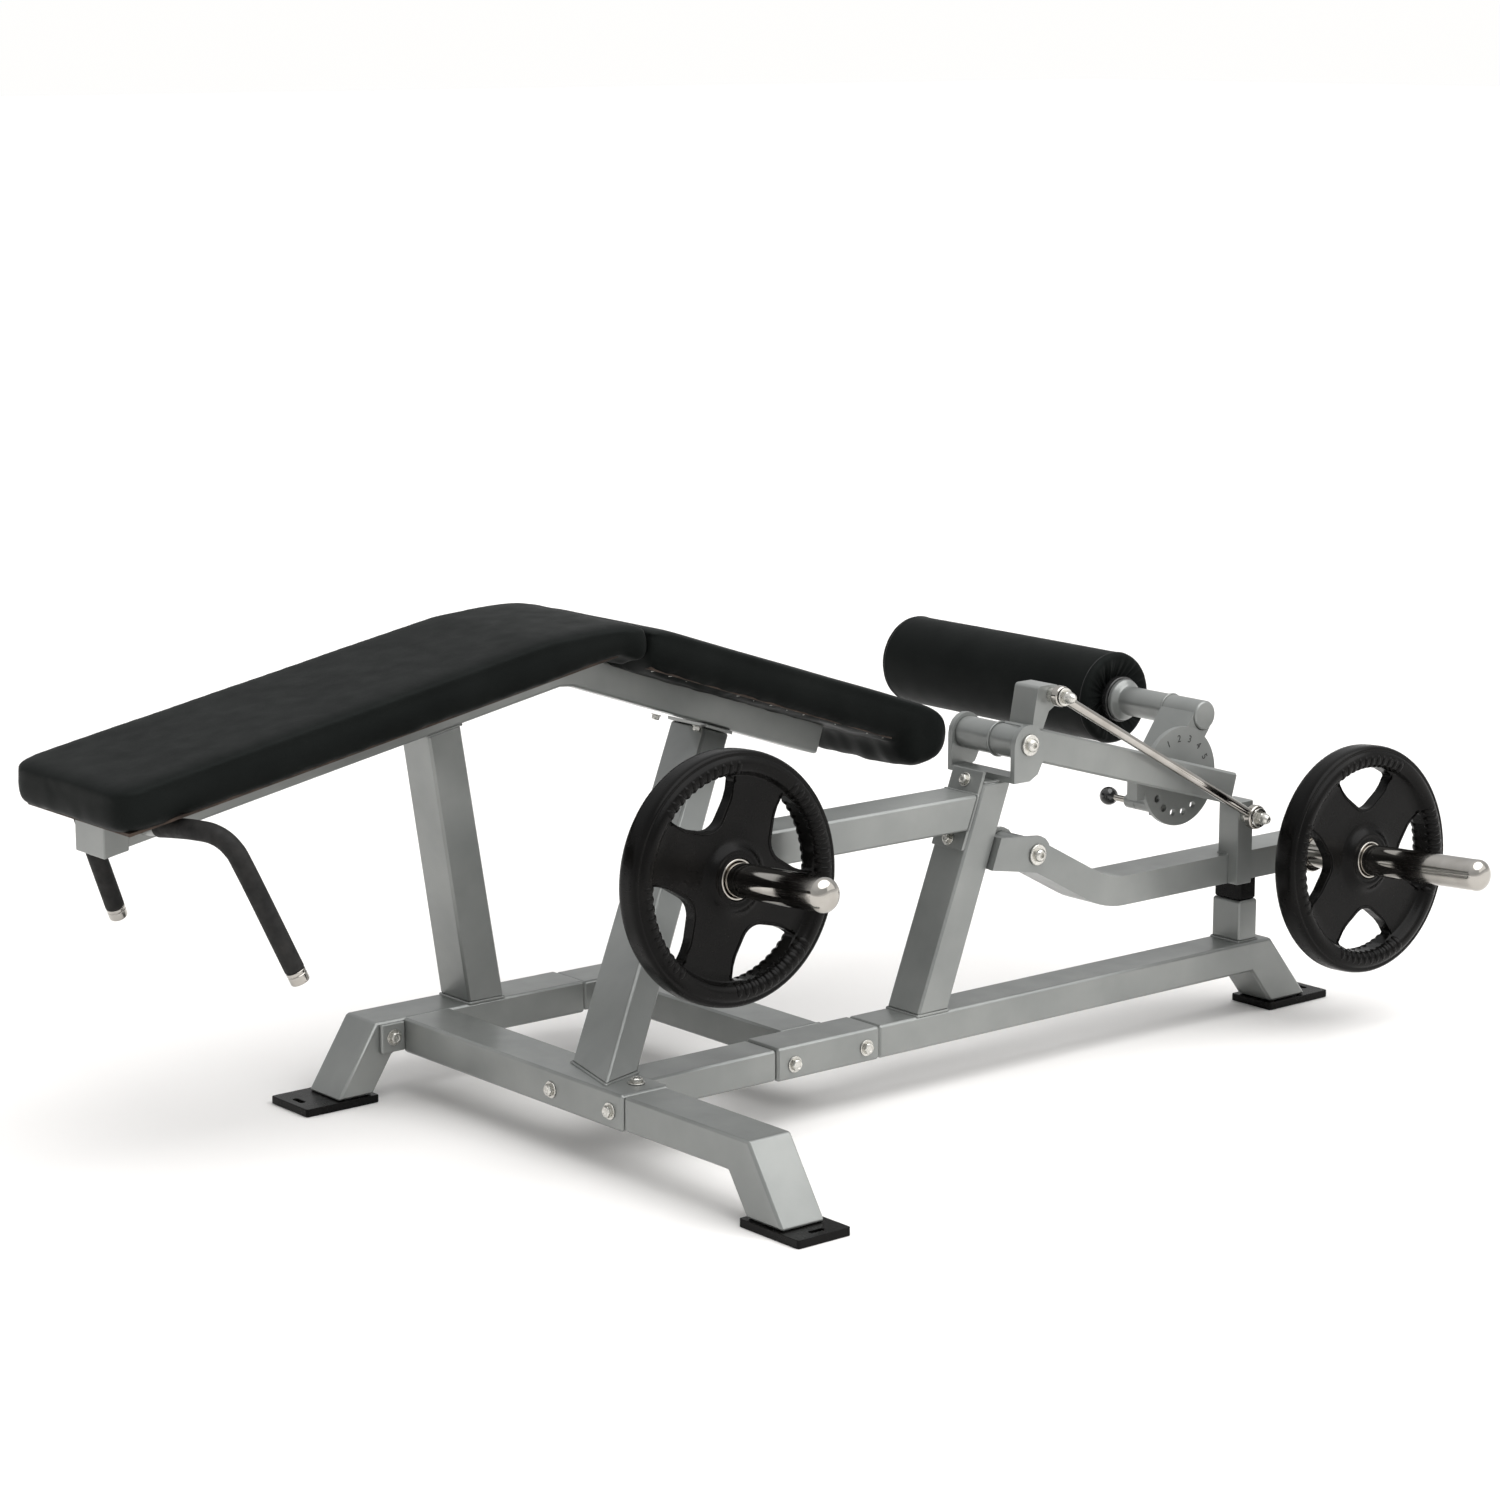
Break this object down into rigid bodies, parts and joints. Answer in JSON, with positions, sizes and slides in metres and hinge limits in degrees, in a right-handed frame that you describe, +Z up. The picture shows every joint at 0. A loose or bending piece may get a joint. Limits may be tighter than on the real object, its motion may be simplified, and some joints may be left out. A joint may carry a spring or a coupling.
{
  "type": "lying leg curl machine",
  "caption": "Plate-loaded lying leg curl with an angled bench, hand grips, a linked weight arm, a pinned leg roller and plates on chrome horns.",
  "frame": {"origin": "on the floor under the centre of the bounding box", "axes": "+X from the head end of the bench towards the loaded plate, +Y from the loading side towards the bench, +Z up"},
  "size_m": [2.178, 1.1876, 0.711],
  "materials": {
    "silver_paint": "silver-grey metallic powder coat, slightly glossy",
    "black_vinyl": "black upholstery vinyl over foam, satin",
    "black_foam": "black closed-cell foam grip, matt",
    "black_rubber": "moulded black rubber, satin",
    "chrome": "bright chrome plate",
    "zinc": "zinc-plated fasteners",
    "black_plastic": "glossy black ball knob"
  },
  "bodies": {
    "frame": {"left_rail": "silver_paint", "left_rail_rear": "silver_paint", "cross_member": "silver_paint", "right_leg": "silver_paint", "main_rail_front": "silver_paint", "rail_sleeve": "silver_paint", "main_rail": "silver_paint", "rear_cross": "silver_paint", "foot_left": "black_rubber", "foot_right": "black_rubber", "foot_rear": "black_rubber", "left_flange": "silver_paint", "bumper_post": "silver_paint", "bumper": "black_rubber", "post_front": "silver_paint", "post_middle": "silver_paint", "bench_bracket": "silver_paint", "post_rear": "silver_paint", "upper_rail": "silver_paint", "upper_flange": "silver_paint", "brace": "silver_paint", "bench_frame": "silver_paint", "chest_pad": "black_vinyl", "thigh_pad": "black_vinyl", "handle_near": "silver_paint", "grip_near": "black_foam", "cap_near": "chrome", "handle_far": "silver_paint", "grip_far": "black_foam", "cap_far": "chrome", "upper_clevis": "silver_paint", "upper_pivot_bolt": "zinc", "lower_clevis": "silver_paint", "lower_pivot_bolt": "zinc", "store_horn": "chrome", "store_collar": "chrome"},
    "lever": {"lever_hub": "silver_paint", "lever_arm": "silver_paint", "lever_lug": "silver_paint", "rod_top_stud": "zinc", "selector_pivot": "zinc", "pin_bracket": "silver_paint", "pin_barrel": "silver_paint"},
    "pull_pin": {"pull_pin": "chrome", "pull_knob": "black_plastic"},
    "selector": {"selector_disc": "silver_paint", "swing_arm": "silver_paint", "roller_shaft": "silver_paint", "roller_collar": "silver_paint"},
    "roller": {"roller": "black_vinyl"},
    "link": {"link_rod": "chrome"},
    "weight_arm": {"weight_arm": "silver_paint", "link_post": "silver_paint", "rod_bottom_stud": "zinc", "arm_horn": "chrome", "arm_collar": "chrome"},
    "arm_plate": {"arm_plate": "black_rubber", "arm_plate_bush": "chrome"},
    "store_plate": {"store_plate": "black_rubber", "store_plate_bush": "chrome"}
  },
  "joints": [
    {"name": "lever_swing", "type": "hinge", "parent": "frame", "child": "lever", "pos_m": [0.27, -0.12075, 0.522], "axis": [0, -1, 0], "range_deg": [0, 65]},
    {"name": "weight_arm_swing", "type": "hinge", "parent": "frame", "child": "weight_arm", "pos_m": [0.312, -0.12575, 0.342], "axis": [0, -1, 0], "range_deg": [0, 25]},
    {"name": "link_swing", "type": "hinge", "parent": "lever", "child": "link", "pos_m": [0.327, -0.20075, 0.5915], "axis": [0, -1, 0], "range_deg": [-47, 0]},
    {"name": "selector_turn", "type": "hinge", "parent": "lever", "child": "selector", "pos_m": [0.669, -0.12075, 0.411], "axis": [0, -1, 0], "range_deg": [-67.5, 22.5]},
    {"name": "roller_spin", "type": "hinge", "parent": "selector", "child": "roller", "pos_m": [0.7346, 0.33425, 0.5002], "axis": [0, 1, 0], "continuous": true},
    {"name": "pin_pull", "type": "slide", "parent": "lever", "child": "pull_pin", "axis": [0, 1, 0], "range_m": [0, 0.014], "stiffness_N_per_m": 400, "springref_m": -0.01},
    {"name": "arm_plate_slide", "type": "slide", "parent": "weight_arm", "child": "arm_plate", "axis": [0, -0.998, 0.0628], "range_m": [0, 0.3]},
    {"name": "store_plate_slide", "type": "slide", "parent": "frame", "child": "store_plate", "axis": [0, -0.998, 0.0628], "range_m": [0, 0.24]}
  ],
  "couplings": [
    {"joint": "weight_arm_swing", "follows": "lever_swing", "ratio": 0.3644},
    {"joint": "link_swing", "follows": "lever_swing", "ratio": -0.6937}
  ]
}
